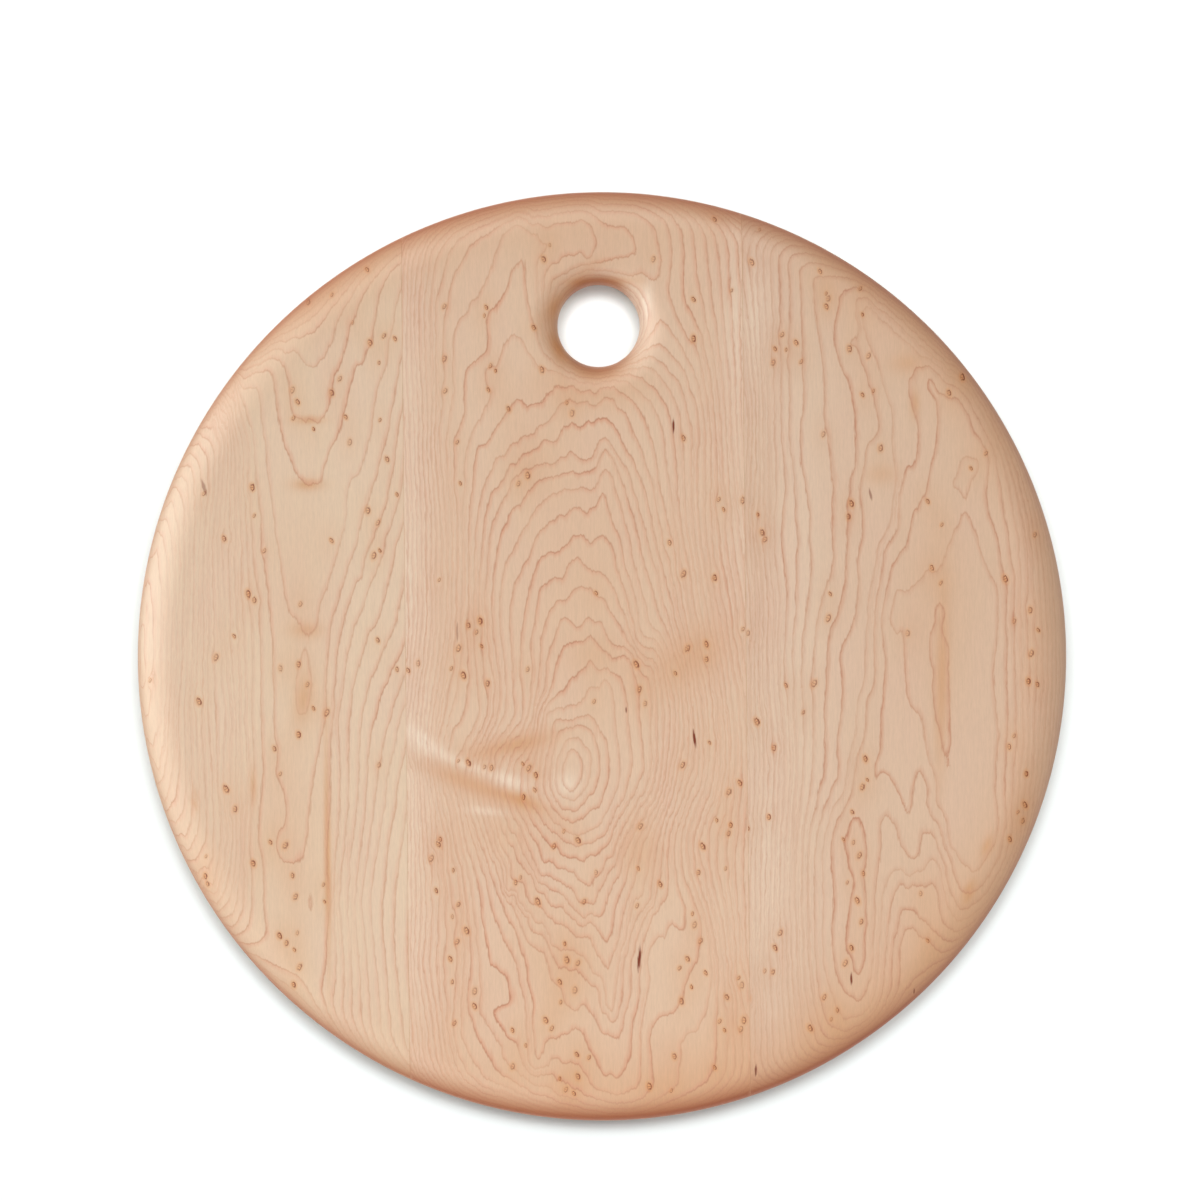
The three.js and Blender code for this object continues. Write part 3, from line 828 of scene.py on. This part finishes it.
# oiled hard maple, sanded and turned: cream to pink-brown wood with red-brown ring lines, small ringed eyes,
# dark mineral flecks, fine fibres that catch the light, end grain that oil has darkened, and painted shade
# and a painted highlight on the edge and in the finger hole
def mapleMaterial(name, wood):
    material = bpy.data.materials.new(name)
    tree = emptyTree(material)
    grown = {}
    for key in ("ring", "rate", "tone", "endGrainAndShade"):
        grown[key] = addNode(tree, "Attribute", attribute_name=key)["Fac"]
    for key in ("eye", "fleck"):
        grown[key] = addNode(tree, "Attribute", attribute_name=key)["Vector"]
    place = addNode(tree, "TexCoord")["Object"]
    noise = {}
    for key in ("fibre", "dash", "jag", "blush"):
        across, along, detail = maple[key]
        scale = (1 / across / mm, 1 / along / mm, 1 / across / mm)
        scaled = addNode(tree, "Mapping", Scale=scale, Vector=place)[0]
        noise[key] = addNode(tree, "TexNoise", Scale=1.0, Detail=detail, Vector=scaled)[0]
    along = addNode(tree, "SeparateXYZ", place)[1]
    lines, late, streak = ringLines(tree, wood, grown["ring"], grown["rate"], noise["jag"], noise["blush"],
                                    along)
    ripple = addNode(tree, "Math", noise["dash"], 1.0, -0.5, operation="MULTIPLY_ADD")[0]
    eyeRing, eyeCore = birdEyes(tree, grown["eye"], ripple)
    rosy = addNode(tree, "MapRange", noise["blush"], *maple["rosy"])[0]
    # mineral flecks, in a fleck's own radii
    parts = addNode(tree, "SeparateXYZ", grown["fleck"])
    flat = addNode(tree, "VectorMath", grown["fleck"], (1.0, 1.0, 0.0), operation="MULTIPLY")[0]
    far = addNode(tree, "VectorMath", flat, operation="LENGTH")[1]
    far = addNode(tree, "Math", far, ripple, operation="ADD")[0]
    stain = addNode(tree, "MapRange", far, *maple["fleckEdge"], interpolation_type="SMOOTHSTEP")[0]
    stain = addNode(tree, "Math", stain, parts[2], operation="MULTIPLY")[0]
    # the colours in turn, each laid over the last by its share
    # a tone below 0 goes brown and above 0 goes pale; besides the wood's own patches, tone carries painted
    # shade and a painted highlight on the finger hole's walls and arcs of painted shade on the edge
    browner = addNode(tree, "Math", grown["tone"], maple["browner"], operation="MULTIPLY")[0]
    colour = addNode(tree, "Mix", grown["tone"], data_type="RGBA", A_Color=fromHex(wood["base"]),
                     B_Color=fromHex(wood["pale"]))[2]
    for share, key in ((rosy, "rosy"), (browner, "brown"), (streak, "late"), (late, "late"), (lines, "line"),
                       (eyeCore, "eyeCore"), (eyeRing, "eyeRing"), (stain, "fleck")):
        colour = addNode(tree, "Mix", share, data_type="RGBA", A_Color=colour,
                         B_Color=fromHex(wood[key]))[2]
    # end grain darkened by oil, and painted shade on the edge, by one share and one colour
    colour = addNode(tree, "Mix", grown["endGrainAndShade"], data_type="RGBA", blend_type="MULTIPLY",
                     A_Color=colour, B_Color=fromHex(wood["endGrainAndShade"]))[2]
    thread = addNode(tree, "MapRange", noise["fibre"], *maple["thread"])[0]
    dashes = addNode(tree, "MapRange", noise["dash"], *maple["pores"])[0]
    shade = addNode(tree, "Math", thread, dashes, operation="MULTIPLY")[0]
    colour = addNode(tree, "VectorMath", colour, operation="SCALE", Scale=shade)[0]
    strength, height = maple["bump"]
    bump = addNode(tree, "Bump", Strength=strength, Distance=height * mm, Height=noise["fibre"])[0]
    shader = addNode(tree, "BsdfPrincipled", colour, Roughness=maple["roughness"], IOR=maple["ior"],
                     Normal=bump)[0]
    addNode(tree, "OutputMaterial", Surface=shader)
    return material


woodLeft = {
    "base": "#e1c6a9", "pale": "#f0dcc4", "rosy": "#dfbaa4", "brown": "#cf935f", "late": "#d7a284",
    "line": "#b87553", "eyeCore": "#da9455", "eyeRing": "#7a2e0e", "fleck": "#7a2c06", "endGrainAndShade": "#c88a59",
    "faintest": 0.5, "depth": 0.85, "dense": 0.3,  # strength of the faintest, all and the closest ring lines
}
# the middle and right planks' bases are a little darker than the left's: partly their own colour, partly
# painted shade for light falling off away from the left
woodMiddle = dict(woodLeft, base="#dfbfa2", late="#d59b7c", depth=1.0, dense=0.46)
woodRight = dict(woodLeft, base="#dbbb9f", late="#cc9678", depth=0.9, dense=0.38)


glue = {
    "rows": 120, "columns": 2, "thin": "#d4ad8a", "full": "#bb8e68", "edge": "#b4784e",
    "patch": 9.0,  # mm across the fuller patches
    "fuller": (0.35, 0.65),
    "roughness": 0.4,
}


# dried glue: a hair-thin amber film, a little shinier than the wood, darker where the joint is fuller, and
# darker out across the rolled edge to match the wood's edge there, whose darkening is partly painted shade
def glueMaterial(name):
    material = bpy.data.materials.new(name)
    tree = emptyTree(material)
    place = addNode(tree, "TexCoord")["Object"]
    fuller = addNode(tree, "TexNoise", Vector=place, Scale=1 / glue["patch"] / mm, Detail=2.0)[0]
    share = addNode(tree, "MapRange", fuller, *glue["fuller"])[0]
    colour = addNode(tree, "Mix", share, data_type="RGBA", A_Color=fromHex(glue["thin"]),
                     B_Color=fromHex(glue["full"]))[2]
    out = addNode(tree, "VectorMath", place, operation="LENGTH")[1]
    share = addNode(tree, "MapRange", out, flatRadius * mm, outer * mm)[0]
    colour = addNode(tree, "Mix", share, data_type="RGBA", A_Color=colour, B_Color=fromHex(glue["edge"]))[2]
    shader = addNode(tree, "BsdfPrincipled", colour, Roughness=glue["roughness"])[0]
    addNode(tree, "OutputMaterial", Surface=shader)
    return material


leftPlank = lensPiece("stave_left_wood", leftStave)
middlePlank = slabPiece("stave_middle_wood", middleStave, True)
rightPlank = lensPiece("stave_right_wood", rightStave)
pieces = [leftPlank, middlePlank, rightPlank]
for plank, stave, wood, node, slot in (
        (leftPlank, leftStave, woodLeft, "stave_left", "maple_left"),
        (middlePlank, middleStave, woodMiddle, "stave_middle", "maple_middle"),
        (rightPlank, rightStave, woodRight, "stave_right", "maple_right")):
    growRings(plank, stave)
    plank.data.materials.append(mapleMaterial("oiledMaple_" + node, wood))
    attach(plank, "root")
    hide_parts(node)
glueLook = glueMaterial("driedGlue")
for joint, node in (("leftJoint", "glue_line_left"), ("rightJoint", "glue_line_right")):
    size = dict(glue, **{"from": board[joint] - board["glue"] / 2, "to": board[joint] + board["glue"] / 2})
    film = slabPiece(node + "_film", size, False)
    film.data.materials.append(glueLook)
    pieces.append(film)
    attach(film, "root")
    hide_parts(node)
print("pieces built:", len(pieces))

# white paper on a table: matte and pale enough to burn out to white, with the board's soft shadow left on it,
# and a faint glow to the camera that is stronger far out; under the finger hole the glow is painted light
# that lifts the shadow there
table = {
    "size": 4.0, "tint": "#e6eded",
    "white": (0.4, 1.2, 0.065, 0.6),  # metres from and to, and the glow there
    "holeShadowLift": (11.0, 15.5, 0.2, 0.0),  # painted light under the finger hole that lifts the board's shadow: mm from the hole's middle, and the glow there
}
bpy.ops.mesh.primitive_plane_add(size=table["size"], location=(0, 0, 0))
floor = bpy.context.object
floor.name = "table_top"
paper = bpy.data.materials.new("whitePaper")
tree = emptyTree(paper)
matte = addNode(tree, "BsdfDiffuse", Color=fromHex(table["tint"]))[0]
place = addNode(tree, "TexCoord")["Object"]
out = addNode(tree, "VectorMath", place, operation="LENGTH")[1]
lift = addNode(tree, "MapRange", out, *table["white"])[0]
toHole = addNode(tree, "VectorMath", place, (0, holeY * mm, 0), operation="DISTANCE")[1]
start, end, bright, dark = table["holeShadowLift"]
# painted light: the table glows brighter under the finger hole, lifting the shadow of the hole's wall
under = addNode(tree, "MapRange", toHole, start * mm, end * mm, bright, dark)[0]
lift = addNode(tree, "Math", lift, under, operation="ADD")[0]
path = addNode(tree, "LightPath")
lift = addNode(tree, "Math", path["Is Camera Ray"], lift, operation="MULTIPLY")[0]
glow = addNode(tree, "Emission", Strength=lift)[0]
both = addNode(tree, "AddShader", matte, glow)[0]
addNode(tree, "OutputMaterial", Surface=both)
floor.data.materials.append(paper)

# studio light, each lamp by its compass angle and height in degrees, its spread in degrees or its distance
# and width in metres, and its share of the light on a flat face: a soft one from beyond the hole, a broad low
# one from the left and its sheen on the rolled edge, a low faint one from the near right, a near one, and
# four on the table alone, three that draw the shadow and one that fills it
lights = {
    "beyond": {"from": 90.0, "height": 56.0, "spread": 32.0, "level": 0.375, "only": "board"},
    "left": {"from": 167.0, "height": 24.0, "spread": 72.0, "level": 0.235, "only": "board"},
    "right": {"from": 296.0, "height": 11.0, "spread": 60.0, "level": 0.045, "only": "board"},
    "sheen": {"from": 174.0, "height": 32.0, "away": 0.7, "width": 0.8, "level": 0.38, "glossOnly": True},
    "near": {"from": 265.0, "height": 48.0, "away": 0.9, "width": 0.5, "level": 0.17, "only": "board"},
    "shade": {"from": 90.0, "height": 64.0, "spread": 20.0, "level": 0.27, "only": "table"},
    "shadeLeft": {"from": 130.0, "height": 66.0, "spread": 20.0, "level": 0.22, "only": "table"},
    "shadeRight": {"from": 46.0, "height": 66.0, "spread": 20.0, "level": 0.25, "only": "table"},
    "dome": {"from": 90.0, "height": 80.0, "away": 1.0, "width": 2.4, "level": 0.37, "only": "table"},
}
reach = {"table": bpy.data.collections.new("table"), "board": bpy.data.collections.new("board")}
reach["table"].objects.link(floor)
for piece in pieces:
    reach["board"].objects.link(piece)
for name, setting in lights.items():
    around, up = math.radians(setting["from"]), math.radians(setting["height"])
    lamp = bpy.data.lights.new(name, "AREA" if "away" in setting else "SUN")
    box = bpy.data.objects.new(name, lamp)
    bpy.context.scene.collection.objects.link(box)
    box.location = (math.cos(around) * math.cos(up), math.sin(around) * math.cos(up), math.sin(up))
    box.rotation_euler = box.location.to_track_quat("Z", "Y").to_euler()
    lamp.energy = math.pi * setting["level"] / math.sin(up)
    if "away" in setting:
        lamp.shape, lamp.size = "DISK", setting["width"]
        lamp.energy *= math.pi * (setting["away"] ** 2 + setting["width"] ** 2 / 4)
        box.location *= setting["away"]
    else:
        lamp.angle = math.radians(setting["spread"])
    box.visible_diffuse = not setting.get("glossOnly", False)
    if "only" in setting:
        box.light_linking.receiver_collection = reach[setting["only"]]
room = {"level": 0.14}  # the same all round, and white to the camera
world = bpy.data.worlds.new("room")
bpy.context.scene.world = world
tree = emptyTree(world)
path = addNode(tree, "LightPath")
level = addNode(tree, "MapRange", path["Is Camera Ray"], 0.0, 1.0, room["level"], 1.0)[0]
air = addNode(tree, "Background", Color=(1, 1, 1, 1), Strength=level)[0]
addNode(tree, "OutputWorld", Surface=air)
print("lit by", ", ".join(lights))

# long lens straight above the board, framed as the photograph is
view = {"above": 1.8, "sensor": 36.0}
frameWidth = photo["size"] * photo["mmPerPixel"] * mm
lens = bpy.data.cameras.new("overhead")
lens.sensor_width = view["sensor"]
lens.lens = view["sensor"] * view["above"] / frameWidth
camera = bpy.data.objects.new("overhead", lens)
bpy.context.scene.collection.objects.link(camera)
middleOfPhoto = onBoard([(photo["size"] / 2, photo["size"] / 2)])[0] * mm
camera.location = (*middleOfPhoto, board["thickness"] / 2 * mm + view["above"])
camera.rotation_euler = (0, 0, -photo["turn"])
bpy.context.scene.camera = camera
bpy.context.scene.view_settings.view_transform = "Standard"
